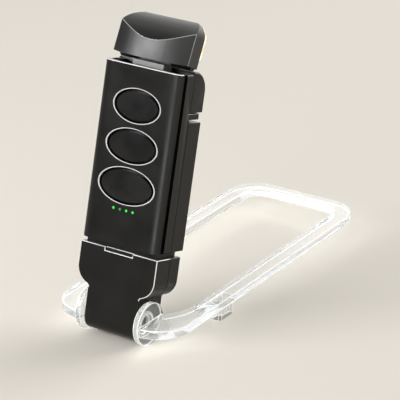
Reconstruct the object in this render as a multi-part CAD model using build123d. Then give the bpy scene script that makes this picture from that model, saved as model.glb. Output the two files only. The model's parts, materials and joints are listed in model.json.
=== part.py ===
"""Clip-on book light, in millimetres.

The lamp is drawn upright in its own frame and then leaned back about the bracket's pivot, which is how
it stands when its clear bracket lies level. X runs across the lamp, Y from its front face to its back and
Z along it. The zero of Y is the front cover's face and the zero of Z is the front cover's lower edge.
The bracket is drawn level about its pivot: X across, Y along the arms, Z up from the pivot.
"""
from build123d import *
import math
import os

# Rest pose
lean_angle = 16.3            # lamp leans back from square to the bracket
head_lean = 14.0             # head leans back from the line of the lamp

# Lamp body
body_width = 30.8
body_height = 60.0
cover_depth = 2.1            # front cover, face to groove
cover_edge_reach = 3.9       # long edges round off over this width
cover_edge_depth = 1.9       # and over this depth
cover_wall = 1.4
groove_width = 1.9           # shadow groove between front cover and side band
groove_depth = 0.7
band_depth = 4.5             # side band, groove to seam
body_corner_radius = 1.0
body_wall = 1.6
back_wall = 1.3
rear_depth = 7.5             # rear housing and clip arm, seam to back
rear_top_rise = 0.7          # rear housing stands above the band
rear_top_radius = 6.8
rear_edge_chamfer = 0.55
rear_wall = 3.2              # rear housing above the lug's core
core_inset = 1.0             # core between housing and lug

# Rear notch, hinge lug and clip arm
hump_height = 13.6           # rear housing above the notch
notch_gap = 0.35             # shadow line between rear housing and lug
lug_height = 2.0
lug_bite = 1.1               # lug reaches this far in front of the seam
lug_inset = 2.1              # lug stops short of the back
clip_gap = 1.05              # under the lug
clip_clearance = 0.06        # clip arm to the lamp's back
clip_foot_gap = 0.3          # clip arm to the end plug
clip_wall = 1.5
clip_plate_thickness = 1.3
clip_pin_radius = 0.6
clip_knuckle_radius = 1.5
clip_knuckle_width = 4.0
clip_knuckle_offset = 7.0    # centre of each knuckle from the middle
side_clearance = 0.25        # beside a knuckle
running_clearance = 0.05     # round a hinge pin
clip_plate_fit = 0.05        # plate to the clip arm's walls
pad_height = 12.0
pad_width = 22.0
pad_thickness = 0.8
pad_bottom_margin = 2.0
pad_rib_count = 5
pad_rib_depth = 0.3
pin_end_reach = 1.5          # pin past the outer knuckle's slot
spring_width = 5.0
spring_thickness = 0.4
spring_behind_pin = 1.2
spring_top_gap = 0.4         # spring's end to the end of its slot
spring_bend = 0.5            # first bend below the lug
spring_slope_drop = 6.0      # second bend below the lug
spring_toe_drop = 10.0       # end of the toe below the lug

# Buttons, from top to bottom: half width and half height of the bright rim
button_rims = {"top": (9.4, 5.75), "middle": (10.3, 5.85), "bottom": (11.3, 6.2)}
top_button_drop = 13.2       # top button's centre below the cover's upper edge
button_pitch = 13.38
well_slope = 0.7             # well narrows by this much through the cover's wall
rim_to_cap = 1.15            # bright rim's outer edge to the cap
cap_recess = 0.15            # cap's edge below the face
cap_crown_radius = 75.0
cap_flange = 0.7             # flange that keeps the cap in
cap_flange_thickness = 0.45
cap_flange_gap = 0.02        # flange to the cover's inside
button_travel = 0.5
plunger_side = 2.2
plunger_length = 0.9

# Charge lights
charge_light_count = 4
charge_light_pitch = 2.6
charge_light_drop = 8.0      # below the bottom button's centre
charge_light_radius = 0.55
charge_light_clearance = 0.05
charge_light_sink = 0.02     # below the face

# Inside the lamp
switch_side = 4.6
switch_depth = 1.2
switch_floor = 0.15          # under the plunger's end
board_thickness = 0.8
board_margin = 1.2           # board to the wall
board_bottom = 3.0
board_top_gap = 5.0          # board to the lamp's upper end
board_screw_bottom = 2.2     # lower screw above the board's edge
board_screw_top = 2.6        # upper screw below the board's edge
board_screw_radius = 0.7
board_screw_head = 1.3
board_screw_head_height = 0.6
board_screw_clearance = 0.1
board_screw_end_gap = 0.3
post_side = 3.2
battery_size = (22.0, 2.3, 36.0)
battery_bottom = 8.0
battery_corner = 0.8
battery_pad_margin_x = 1.0
battery_pad_margin_z = 2.0
pad_gap_thickness = 0.2

# Head hinge
hinge_y = 8.2
hinge_rise = 2.3             # pin above the front cover's upper edge
barrel_radius = 1.5
barrel_half = 6.2            # pedestal and barrel, half width
pedestal_front = 3.2
pedestal_rise = 1.5          # pedestal above the front cover's upper edge
pedestal_depth = 4.0         # pedestal inside the lamp
board_to_pedestal = 0.1
head_knuckle_end = 14.2
head_pin_radius = 0.6
head_pocket_half = 11.8

# Head, about its hinge pin and before it leans
head_width = 30.0
head_front = 4.15            # side's front edge, in front of the pin
head_back = 1.35             # rear face, behind the pin
head_bulge = 3.0             # face bulges forward in the middle
head_bottom = -0.6
head_lip = 0.75              # bulged face's lower edge hangs this much lower
head_top = 14.4
slope_height = 5.1           # slope meets the bulged face this high in the middle
slope_crown = 1.2            # slope is rounded by this much
head_corner_radius = 5.5
head_wall = 1.9
light_fit = 0.05             # light frame to the head
light_width = 25.6
light_bottom = 1.7
light_top = 10.4
light_corner_radius = 1.6
diffuser_thickness = 1.0
diffuser_proud = 1.8         # lens behind the head's rear face
diffuser_margin = 0.3        # lens to the head's outline
diffuser_bottom = 2.6
diffuser_chamfer = 0.5
led_board_margin = 0.1
led_board_corner = 1.0
frame_wall = 0.8
led_board_thickness = 0.8
led_size = (2.8, 0.5, 3.5)
led_count = 6

# End plug and base
plug_gap = 1.7               # between lamp and base
neck_inset = 1.5
neck_front_inset = 1.9
neck_back_inset = 2.8
plug_inset = 2.2
plug_corner_radius = 1.5
plug_wall = 1.4
plug_floor = 3.0
tenon_margin = 2.0           # tenon past each side of the socket
plug_length = 6.5
plug_front = 2.6
plug_back = 12.6
plug_clearance = 0.1
well_depth_clearance = 0.5   # below the plug's end
socket_width = 8.9           # charging socket
socket_depth = 3.2
socket_length = 6.5
socket_wall = 0.35
socket_back_wall = 0.6
tongue_width = 6.4           # socket's inner tongue
tongue_thickness = 0.7
tongue_sink = 1.2            # tongue's end below the socket's mouth
base_front = 0.85
base_back = 14.3
base_width = 31.2
foot_width = 20.8            # narrow lower part of the base
shoulder_bottom = -15.8
shoulder_radius = 6.2
waist_radius = 1.1
base_bottom = -31.0
base_front_radius = 5.0
base_back_radius = 6.0
base_wall = 1.6
nick_width = 11.2
nick_height = 1.25
nick_depth = 0.8
boss_side = 4.6
screw_radius = 0.9
screw_clearance = 0.1
screw_end_gap = 1.0
screw_bite_gap = 0.5         # end of the screw's hole to the front wall
screw_head_radius = 1.8
screw_head_height = 1.0
screw_head_sink = 0.4
screw_head_clearance = 0.15
screw_heights = (-16.0, -25.5)

# Bracket
pivot_y = 6.16
pivot_z = -24.54
disc_radius = 7.5
disc_thickness = 2.1
disc_gap = 0.5               # disc to the base's side
stub_radius = 3.0
stub_groove_radius = 2.4
stub_groove_width = 0.7
stub_end_land = 0.4          # past the groove
clip_ring_clearance = 0.05   # each side of the retaining clip
bushing_wall = 1.0
bushing_fit = 0.02
bracket_clearance = 0.06
clip_ring_radius = 3.6
clip_ring_fit = 0.03
clip_ring_mouth = 2.4
arm_inner = 18.7             # half width inside the arms
arm_outer = 25.1
arm_top = 1.25               # above the pivot
arm_bottom = -1.9
loop_reach = 114.2           # pivot to the far end
far_bar_width = 5.1
far_outer_radius = 11.5
far_inner_radius = 6.0
nose_front = -6.7
nose_radius = 12.0
root_back = 6.2              # arm leaves the disc here
root_straight = 19.0         # inner edge runs straight from here
foot_front = 25.5
foot_length = 8.4
foot_inner_step = 0.3        # foot stops short of the arm's inner edge
foot_outer_step = 1.9        # and of its outer edge
foot_corner = 0.7
foot_root = 0.5              # foot reaches this far into the arm

# Worked out from the above
half_body = body_width / 2
band_front = cover_depth + groove_width
seam_y = band_front + band_depth
back_y = seam_y + rear_depth
hump_bottom = body_height + rear_top_rise - hump_height
lug_top = hump_bottom - notch_gap
lug_bottom = lug_top - lug_height
clip_top = lug_bottom - clip_gap
clip_pin_y = seam_y + 2.0
clip_pin_z = (lug_top + lug_bottom) / 2
lug_back = back_y - lug_inset
hinge_z = body_height + hinge_rise
base_top = -plug_gap
plug_bottom = base_top - plug_length
half_base = base_width / 2
half_foot = foot_width / 2
disc_inner = half_foot + disc_gap
disc_outer = disc_inner + disc_thickness
stub_groove_end = half_foot - base_wall
stub_groove_start = stub_groove_end - stub_groove_width
stub_end = stub_groove_start - stub_end_land
half_plug = half_body - plug_inset
half_tenon = socket_width / 2 + tenon_margin
top_button_height = body_height - top_button_drop
button_heights = {name: top_button_height - button_pitch * i for i, name in enumerate(button_rims)}
charge_light_height = button_heights["bottom"] - charge_light_drop
board_top = body_height - board_top_gap
board_screw_heights = (board_bottom + board_screw_bottom, board_top - board_screw_top)
pad_bottom = clip_foot_gap + clip_wall + clip_plate_fit + pad_bottom_margin
switch_front = cover_wall + cap_flange_thickness + button_travel + 0.1
board_front = switch_front + switch_depth
battery_front = board_front + board_thickness + pad_gap_thickness
back_inner = seam_y - back_wall
loop_centre = (loop_reach - disc_radius) / 2


def block(x0, x1, y0, y1, z0, z1):
    """A box between two corners."""
    return Pos((x0 + x1) / 2, (y0 + y1) / 2, (z0 + z1) / 2) * Box(x1 - x0, y1 - y0, z1 - z0)


def rod_x(radius, x0, x1, y, z):
    """A cylinder along X."""
    return Pos((x0 + x1) / 2, y, z) * Rot(0, 90, 0) * Cylinder(radius, x1 - x0)


def rod_y(radius, y0, y1, x, z):
    """A cylinder along Y."""
    return Pos(x, (y0 + y1) / 2, z) * Rot(90, 0, 0) * Cylinder(radius, y1 - y0)


def slab_y(outline, y0, y1):
    """A front view outline (drawn in X and Z) given thickness along Y."""
    return Pos(0, y1, 0) * extrude(Rot(90, 0, 0) * outline, amount=y1 - y0)


def slab_x(outline, x0, x1):
    """A side view outline (drawn in Y and Z) given thickness along X."""
    return Pos(x0, 0, 0) * extrude(Plane.YZ * outline, amount=x1 - x0)


def oval(half_x, half_z, z, y0, y1):
    """An elliptical plug along Y."""
    return slab_y(Pos(0, z) * Ellipse(half_x, half_z), y0, y1)


def rounded(width, z0, z1, radius):
    """A rounded rectangle in X and Z, centred on X."""
    return Pos(0, (z0 + z1) / 2) * RectangleRounded(width, z1 - z0, radius)


def mirrored(shape):
    """A piece and its mirror image across the middle."""
    return Part() + shape + mirror(shape, about=Plane.YZ)


# Lamp body

def front_cover():
    flat = half_body - cover_edge_reach
    right_edge = EllipticalCenterArc((flat, cover_edge_depth), cover_edge_reach, cover_edge_depth,
                                     start_angle=270, arc_size=90)
    left_edge = mirror(right_edge, about=Plane.YZ)
    plan = make_face([left_edge, Line((-flat, 0), (flat, 0)), right_edge,
                      Polyline((half_body, cover_edge_depth), (half_body, cover_depth),
                               (-half_body, cover_depth), (-half_body, cover_edge_depth))])
    shell = extrude(plan, amount=body_height)
    inner = half_body - body_wall
    shell -= block(-inner, inner, cover_wall, cover_depth, body_wall, body_height - body_wall)
    for name, (half_x, half_z) in button_rims.items():
        height = button_heights[name]
        wide = Pos(0, height) * Ellipse(half_x, half_z)
        narrow = Pos(0, height) * Ellipse(half_x - well_slope, half_z - well_slope)
        shell -= loft([Plane.XZ * wide, Plane.XZ.offset(-cover_wall) * narrow])
    for x in charge_light_places():
        radius = charge_light_radius + charge_light_clearance
        shell -= rod_y(radius, 0, cover_wall, x, charge_light_height)
    return shell


def charge_light_places():
    first = -charge_light_pitch * (charge_light_count - 1) / 2
    return [first + charge_light_pitch * i for i in range(charge_light_count)]


def mid_frame():
    outer = rounded(body_width, 0, body_height, body_corner_radius)
    half_tongue = half_body - groove_depth
    half_room = half_body - body_wall
    frame = slab_y(outer, band_front, seam_y)
    frame += block(-half_tongue, half_tongue, cover_depth, band_front, groove_depth,
                   body_height - groove_depth)
    frame -= block(-half_room, half_room, cover_depth, back_inner, body_wall, body_height - body_wall)
    tab_room = block(half_body - body_wall, half_body, seam_y - lug_bite, seam_y, lug_bottom, lug_top)
    frame -= mirrored(tab_room)
    frame -= block(-head_pocket_half, head_pocket_half, pedestal_front, seam_y,
                   body_height - body_wall, body_height)
    frame -= block(-half_tenon, half_tenon, band_front, back_inner, 0, body_wall)
    half_post = post_side / 2
    board_back = board_front + board_thickness
    for height in board_screw_heights:
        frame += block(-half_post, half_post, board_back, back_inner,
                       height - half_post, height + half_post)
        frame -= rod_y(board_screw_radius, board_back, back_inner, 0, height)
    return frame


def rear_housing():
    side = make_face(Wire.make_polygon([
        (seam_y, hump_bottom), (back_y, hump_bottom),
        (back_y, body_height + rear_top_rise), (seam_y, body_height + rear_top_rise)]))
    hump = slab_x(side, -half_body, half_body)
    corner = hump.edges().filter_by(Axis.X).sort_by(Axis.Z)[-2:].sort_by(Axis.Y)[-1]
    hump = fillet(corner, rear_top_radius)
    left, right = hump.faces().sort_by(Axis.X)[0], hump.faces().sort_by(Axis.X)[-1]
    sides = [edge for edge in left.edges() + right.edges()
             if edge.center().Y > seam_y + rear_edge_chamfer and edge.center().Z > hump_bottom + 0.5]
    hump = chamfer(sides, rear_edge_chamfer)
    wall = body_wall
    hollow_top = body_height + rear_top_rise - rear_top_radius
    hump -= block(-half_body + wall, half_body - wall, seam_y, back_y - wall,
                  hump_bottom + rear_wall, hollow_top)
    half_core = half_body - core_inset
    core = block(-half_core, half_core, seam_y, lug_back - core_inset, lug_top, hump_bottom)
    lug = block(-half_body, half_body, seam_y, lug_back, lug_bottom, lug_top)
    tab = block(half_body - body_wall, half_body, seam_y - lug_bite, seam_y, lug_bottom, lug_top)
    housing = hump + core + lug + mirrored(tab)
    slot_half = clip_knuckle_width / 2 + side_clearance
    slot_top = clip_pin_z + clip_knuckle_radius + side_clearance
    for x in (-clip_knuckle_offset, clip_knuckle_offset):
        housing -= block(x - slot_half, x + slot_half, seam_y - lug_bite, lug_back, lug_bottom, slot_top)
    spring_half = spring_width / 2 + side_clearance
    housing -= block(-spring_half, spring_half, clip_pin_y + spring_behind_pin, lug_back, lug_bottom,
                     hump_bottom + rear_wall)
    reach = clip_knuckle_offset + slot_half + pin_end_reach
    housing -= rod_x(clip_pin_radius, -reach, reach, clip_pin_y, clip_pin_z)
    return housing


def clip_pin():
    reach = clip_knuckle_offset + clip_knuckle_width / 2 + side_clearance + pin_end_reach
    return rod_x(clip_pin_radius, -reach, reach, clip_pin_y, clip_pin_z)


def clip_spring():
    """A bent strip that lies behind the pin and presses the clip's inner plate forward."""
    top_y = clip_pin_y + spring_behind_pin + spring_thickness
    toe_y = seam_y + clip_clearance + clip_plate_thickness + spring_thickness / 2
    path = Polyline((top_y, hump_bottom + rear_wall - spring_top_gap), (top_y, lug_bottom - spring_bend),
                    (toe_y, lug_bottom - spring_slope_drop), (toe_y, lug_bottom - spring_toe_drop))
    strip = offset(path, spring_thickness / 2, side=Side.BOTH, closed=True)
    return slab_x(make_face(strip), -spring_width / 2, spring_width / 2)


def clip_arm():
    front = seam_y + clip_clearance
    body = block(-half_body, half_body, front, back_y, clip_foot_gap, clip_top)
    body = chamfer(body.faces().sort_by(Axis.Y)[-1].edges(), rear_edge_chamfer)
    wall = clip_wall
    body -= block(-half_body + wall, half_body - wall, front, back_y - wall,
                  clip_foot_gap + wall, clip_top - wall)
    spring_half = spring_width / 2 + side_clearance
    body -= block(-spring_half, spring_half, front, lug_back, clip_top - wall, clip_top)
    bar = front + clip_plate_thickness
    for x in (-clip_knuckle_offset, clip_knuckle_offset):
        left = x - clip_knuckle_width / 2
        right = x + clip_knuckle_width / 2
        body += rod_x(clip_knuckle_radius, left, right, clip_pin_y, clip_pin_z)
        body += block(left, right, bar, clip_pin_y + clip_knuckle_radius, clip_top - wall, clip_pin_z)
        body -= rod_x(clip_pin_radius + running_clearance, left, right, clip_pin_y, clip_pin_z)
    return body


def clip_plate():
    front = seam_y + clip_clearance
    wall = clip_wall + clip_plate_fit
    plate = block(-half_body + wall, half_body - wall, front, front + clip_plate_thickness,
                  clip_foot_gap + wall, clip_top - wall)
    plate -= block(-pad_width / 2, pad_width / 2, front, front + pad_thickness, pad_bottom,
                   pad_bottom + pad_height)
    return plate


def clip_pad():
    front = seam_y + clip_clearance
    pad = block(-pad_width / 2, pad_width / 2, front, front + pad_thickness, pad_bottom,
                pad_bottom + pad_height)
    pitch = pad_height / pad_rib_count
    for i in range(pad_rib_count):
        height = pad_bottom + pitch * (i + 0.5)
        pad -= block(-pad_width / 2, pad_width / 2, front, front + pad_rib_depth,
                     height - pad_rib_depth, height + pad_rib_depth)
    return pad


# Buttons

def cap_sizes(name):
    half_x, half_z = button_rims[name]
    return half_x - rim_to_cap, half_z - rim_to_cap, button_heights[name]


def button_cap(name):
    half_x, half_z, height = cap_sizes(name)
    crown = cap_crown_radius
    rise = crown - math.sqrt(crown ** 2 - half_x ** 2)
    ball = Pos(0, cap_recess - rise + crown, height) * Sphere(crown)
    flange_front = cover_wall + cap_flange_gap
    cap = oval(half_x, half_z, height, -cover_wall, flange_front) & ball
    return cap + oval(half_x + cap_flange, half_z + cap_flange, height, flange_front,
                      cover_wall + cap_flange_thickness)


def plunger(name):
    half = plunger_side / 2
    back = cover_wall + cap_flange_thickness
    height = button_heights[name]
    return block(-half, half, back, back + plunger_length, height - half, height + half)


# Inside the lamp

def tact_switches():
    half = switch_side / 2
    group = Part()
    well = plunger_side / 2 + running_clearance
    for height in button_heights.values():
        body = block(-half, half, switch_front, board_front, height - half, height + half)
        body -= block(-well, well, switch_front, board_front - switch_floor, height - well, height + well)
        group += body
    return group


def charge_lights():
    group = Part()
    for x in charge_light_places():
        group += rod_y(charge_light_radius, charge_light_sink, board_front, x, charge_light_height)
    return group


def circuit_board():
    half = half_body - body_wall - board_margin
    board = block(-half, half, board_front, board_front + board_thickness, board_bottom, board_top)
    hole = board_screw_radius + board_screw_clearance
    for height in board_screw_heights:
        board -= rod_y(hole, board_front, board_front + board_thickness, 0, height)
    return board


def board_screws():
    group = Part()
    for height in board_screw_heights:
        group += rod_y(board_screw_head, board_front - board_screw_head_height, board_front, 0, height)
        group += rod_y(board_screw_radius, board_front, back_inner - board_screw_end_gap, 0, height)
    return group


def battery():
    width, depth, height = battery_size
    cell = block(-width / 2, width / 2, battery_front, battery_front + depth, battery_bottom,
                 battery_bottom + height)
    return chamfer(cell.edges().filter_by(Axis.Z), battery_corner)


def battery_pad():
    width, depth, height = battery_size
    front = board_front + board_thickness
    half = width / 2 - battery_pad_margin_x
    return block(-half, half, front, battery_front, battery_bottom + battery_pad_margin_z,
                 battery_bottom + height - battery_pad_margin_z)


def dock_plug():
    half_neck = half_body - neck_inset
    plug = block(-half_neck, half_neck, neck_front_inset, back_y - neck_back_inset, base_top, 0)
    stem = block(-half_plug, half_plug, plug_front, plug_back, plug_bottom, base_top)
    stem = fillet(stem.edges().filter_by(Axis.Z), plug_corner_radius)
    plug += stem + block(-half_tenon, half_tenon, band_front, back_inner, 0, body_wall)
    wall = plug_wall
    plug -= block(-half_plug + wall, half_plug - wall, plug_front + wall, plug_back - wall,
                  plug_bottom + plug_floor, base_top)
    plug -= usb_outline(0, plug_bottom, plug_bottom + plug_floor)
    return plug


def usb_outline(grow, z0, z1):
    """The charging socket's rounded outline, along Z."""
    centre_y = (plug_front + plug_back) / 2
    width = socket_width + 2 * grow
    depth = socket_depth + 2 * grow
    outline = SlotOverall(width, depth)
    return Pos(0, centre_y, z0) * extrude(outline, amount=z1 - z0)


def usb_socket():
    top = plug_bottom + socket_length
    shell = usb_outline(0, plug_bottom, top)
    shell -= usb_outline(-socket_wall, plug_bottom, top - socket_back_wall)
    centre_y = (plug_front + plug_back) / 2
    half = tongue_thickness / 2
    shell += block(-tongue_width / 2, tongue_width / 2, centre_y - half, centre_y + half,
                   plug_bottom + tongue_sink, top - socket_back_wall)
    return shell


def hinge_pedestal():
    foot_top = body_height + pedestal_rise
    foot_bottom = body_height - body_wall - pedestal_depth
    foot = block(-barrel_half, barrel_half, pedestal_front, hinge_y, body_height - body_wall, foot_top)
    foot += block(-barrel_half, barrel_half, board_front + board_thickness + board_to_pedestal, back_inner,
                  foot_bottom, body_height - body_wall)
    barrel = rod_x(barrel_radius, -barrel_half, barrel_half, hinge_y, hinge_z)
    pedestal = foot + barrel
    pedestal -= rod_x(head_pin_radius + running_clearance, -barrel_half, barrel_half, hinge_y, hinge_z)
    return pedestal


# Head, drawn about its pin and leaned afterwards

def placed_head(shape):
    return Pos(0, hinge_y, hinge_z) * Rot(-head_lean, 0, 0) * shape


def head_blank():
    half = head_width / 2
    plan = make_face([
        Line((-half, head_back), (-half, -head_front)),
        ThreePointArc((-half, -head_front), (0, -head_front - head_bulge), (half, -head_front)),
        Line((half, -head_front), (half, head_back)),
        Line((half, head_back), (-half, head_back))])
    lip = head_bottom - head_lip
    blank = Pos(0, 0, lip) * extrude(plan, amount=head_top - lip)
    front = -head_front - head_bulge
    slope_start = Vector(front, slope_height)
    slope_end = Vector(head_back, head_top)
    side = make_face([
        Polyline(slope_start, (front, lip), (-head_front, head_bottom), (head_back, head_bottom), slope_end),
        SagittaArc(slope_start, slope_end, slope_crown)])
    blank = blank & slab_x(side, -half, half)
    outline = rounded(head_width, head_bottom - 3 * head_corner_radius, head_top, head_corner_radius)
    return blank & slab_y(outline, front, head_back)


def head_shell():
    shell = head_blank()
    wall = head_wall
    room = rounded(light_width + 2 * light_fit, light_bottom - light_fit, light_top + light_fit,
                   light_corner_radius)
    shell -= slab_y(room, -head_front + wall, head_back)
    shell -= rod_x(barrel_radius + side_clearance, -barrel_half - side_clearance,
                   barrel_half + side_clearance, 0, 0)
    for side in (-1, 1):
        near = side * (barrel_half + side_clearance)
        far = side * head_knuckle_end
        shell += rod_x(barrel_radius, min(near, far), max(near, far), 0, 0)
    shell -= rod_x(head_pin_radius, -head_knuckle_end, head_knuckle_end, 0, 0)
    return shell


def light_frame():
    """White frame round the light board that carries the diffuser."""
    front = -head_front + head_wall + led_board_thickness
    back = head_back
    outer = rounded(light_width, light_bottom, light_top, light_corner_radius)
    half = light_width / 2 - frame_wall
    return slab_y(outer, front, back) - block(-half, half, front, back, light_bottom + frame_wall,
                                              light_top - frame_wall)


def light_diffuser():
    """Lens over the head's whole back, with a plug that sits in the light frame."""
    margin = diffuser_margin
    outline = rounded(head_width - 2 * margin, diffuser_bottom - head_corner_radius, head_top - margin,
                      head_corner_radius - margin)
    above = Pos(0, (diffuser_bottom + head_top) / 2) * Rectangle(head_width, head_top - diffuser_bottom)
    lens = slab_y(outline & above, head_back, head_back + diffuser_proud)
    lens = chamfer(lens.faces().sort_by(Axis.Y)[-1].edges(), diffuser_chamfer)
    half = light_width / 2 - frame_wall
    return lens + block(-half, half, head_back - diffuser_thickness, head_back,
                        light_bottom + frame_wall, light_top - frame_wall)


def led_board():
    front = -head_front + head_wall
    half = light_width / 2 - led_board_margin
    board = block(-half, half, front, front + led_board_thickness, light_bottom + led_board_margin,
                  light_top - led_board_margin)
    return chamfer(board.edges().filter_by(Axis.Y), led_board_corner)


def head_leds():
    width, depth, height = led_size
    front = -head_front + head_wall + led_board_thickness
    pitch = (light_width - 2 * frame_wall) / led_count
    middle = (light_bottom + light_top) / 2
    group = Part()
    for i in range(led_count):
        x = (i - (led_count - 1) / 2) * pitch
        group += block(x - width / 2, x + width / 2, front, front + depth, middle - height / 2,
                       middle + height / 2)
    return group


def head_pin():
    return rod_x(head_pin_radius, -head_knuckle_end, head_knuckle_end, 0, 0)


# Base

def base_outline():
    """Front view of the base: wide at the top, with curved shoulders down to the narrow foot."""
    wide = Pos(0, (base_top + shoulder_bottom) / 2) * Rectangle(base_width, base_top - shoulder_bottom)
    wide = fillet(wide.vertices().group_by(Axis.Y)[0], shoulder_radius)
    narrow = Pos(0, (base_top + base_bottom) / 2) * Rectangle(foot_width, base_top - base_bottom)
    return wide + narrow


def base_side():
    """Side view of the base, with its rounded lower edges."""
    depth = base_back - base_front
    height = base_top - base_bottom
    side = Pos(base_front + depth / 2, base_bottom + height / 2) * Rectangle(depth, height)
    side = fillet(side.vertices().group_by(Axis.Y)[0].sort_by(Axis.X)[0], base_front_radius)
    return fillet(side.vertices().group_by(Axis.X)[-1].sort_by(Axis.Y)[0], base_back_radius)


def base_solid():
    return slab_y(base_outline(), base_front, base_back) & slab_x(base_side(), -half_base, half_base)


def base_blank():
    solid = base_solid()
    waist = [edge for edge in solid.edges().filter_by(Axis.Y)
             if abs(abs(edge.center().X) - half_foot) < 0.05
             and abs(edge.center().Z - shoulder_bottom) < 0.6]
    solid = fillet(waist, waist_radius)
    solid -= base_room()
    half_room = half_plug + plug_clearance
    well = block(-half_room, half_room, plug_front - plug_clearance, plug_back + plug_clearance,
                 plug_bottom - well_depth_clearance, base_top)
    solid -= fillet(well.edges().filter_by(Axis.Z), plug_corner_radius)
    bore = stub_radius + bracket_clearance + bushing_wall
    solid -= rod_x(bore, -half_foot, half_foot, pivot_y, pivot_z)
    return solid


def base_room():
    """Hollow inside the base, below the floor of the plug's well."""
    well_floor = plug_bottom - well_depth_clearance - base_wall
    half_room = half_foot - base_wall
    return block(-half_room, half_room, base_front + base_wall, base_back - base_wall,
                 base_bottom + 2 * base_wall, well_floor)


def base_front_shell():
    shell = base_blank() & block(-half_base, half_base, base_front, seam_y, base_bottom, base_top)
    shell -= block(-nick_width / 2, nick_width / 2, base_front, base_front + nick_depth,
                   base_top - nick_height, base_top)
    for height in screw_heights:
        shell += screw_boss(base_front + base_wall, seam_y, height)
        shell -= rod_y(screw_radius, base_front + base_wall + screw_bite_gap, seam_y, 0, height)
    return shell


def screw_boss(y0, y1, height):
    half = boss_side / 2
    return block(-half, half, y0, y1, height - half, height + half) & base_solid()


def base_rear_shell():
    shell = base_blank() & block(-half_base, half_base, seam_y, base_back, base_bottom, base_top)
    seat = base_back - screw_head_height - screw_head_sink
    for height in screw_heights:
        shell += screw_boss(seam_y, base_back - base_wall, height)
        shell -= rod_y(screw_radius + screw_clearance, seam_y, base_back, 0, height)
        shell -= rod_y(screw_head_radius + screw_head_clearance, seat, base_back, 0, height)
    return shell


def base_screws():
    group = Part()
    seat = base_back - screw_head_height - screw_head_sink
    end = base_front + base_wall + screw_bite_gap + screw_end_gap
    for height in screw_heights:
        screw = rod_y(screw_radius, end, seat, 0, height)
        head = rod_y(screw_head_radius, seat, seat + screw_head_height, 0, height)
        group += screw + head
    return group


def bushing(side):
    """Nylon bushing in the base's side wall, round the bracket's stub axle."""
    inner = stub_radius + bracket_clearance
    near = half_foot - base_wall
    ring = rod_x(inner + bushing_wall - bushing_fit, near, half_foot, pivot_y, pivot_z)
    ring -= rod_x(inner, near, half_foot, pivot_y, pivot_z)
    return ring if side > 0 else mirror(ring, about=Plane.YZ)


# Bracket, drawn level about its pivot

def arm_outline():
    """Right half of the loop, seen from above."""
    length = loop_reach - nose_front
    outline = Pos(arm_outer / 2, nose_front + length / 2) * Rectangle(arm_outer, length)
    nose = outline.vertices().group_by(Axis.X)[-1].sort_by(Axis.Y)[0]
    outline = fillet(nose, nose_radius)
    far_corner = outline.vertices().group_by(Axis.Y)[-1].sort_by(Axis.X)[-1]
    outline = fillet(far_corner, far_outer_radius)
    inner_end = loop_reach - far_bar_width
    room = Pos(0, (root_straight + inner_end) / 2) * Rectangle(2 * arm_inner, inner_end - root_straight)
    room = fillet(room.vertices().group_by(Axis.Y)[-1], far_inner_radius)
    near_length = root_straight - nose_front
    near_room = Pos(0, nose_front + near_length / 2) * Rectangle(2 * disc_outer, near_length)
    rise = root_straight - root_back
    drop = arm_inner - disc_outer
    root_radius = (rise ** 2 + drop ** 2) / (2 * drop)
    root_curve = Pos(arm_inner - root_radius, root_straight) * Circle(root_radius)
    root_curve &= Pos(0, (root_straight + root_back) / 2) * Rectangle(2 * arm_outer, rise)
    return outline - room - near_room - root_curve


def bracket_loop():
    arm = Pos(0, 0, arm_bottom) * extrude(arm_outline(), amount=arm_top - arm_bottom)
    disc = rod_x(disc_radius, disc_inner, disc_outer, 0, 0)
    foot = block(arm_inner + foot_inner_step, arm_outer - foot_outer_step, foot_front,
                 foot_front + foot_length, -disc_radius, arm_bottom + foot_root)
    foot = chamfer(foot.edges().filter_by(Axis.Z), foot_corner)
    stub = rod_x(stub_radius, stub_end, disc_inner, 0, 0)
    stub -= rod_x(stub_radius, stub_groove_start, stub_groove_end, 0, 0)
    stub += rod_x(stub_groove_radius, stub_groove_start, stub_groove_end, 0, 0)
    half = arm + disc + foot + stub
    return half + mirror(half, about=Plane.YZ)


def retaining_clip(side):
    start = stub_groove_start + clip_ring_clearance
    end = stub_groove_end - clip_ring_clearance
    ring = rod_x(clip_ring_radius, start, end, 0, 0)
    ring -= rod_x(stub_groove_radius + clip_ring_fit, start, end, 0, 0)
    ring -= block(start, end, -clip_ring_mouth / 2, clip_ring_mouth / 2, -clip_ring_radius, 0)
    return ring if side > 0 else mirror(ring, about=Plane.YZ)


# Placing and writing

to_pivot = Pos(0, -loop_centre, disc_radius)


def stand(shape):
    """Lean an upright piece back about the bracket's pivot and set it on its place."""
    return to_pivot * Rot(-lean_angle, 0, 0) * Pos(0, -pivot_y, -pivot_z) * shape


def level(shape):
    """Set a bracket piece on its place."""
    return to_pivot * shape


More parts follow.
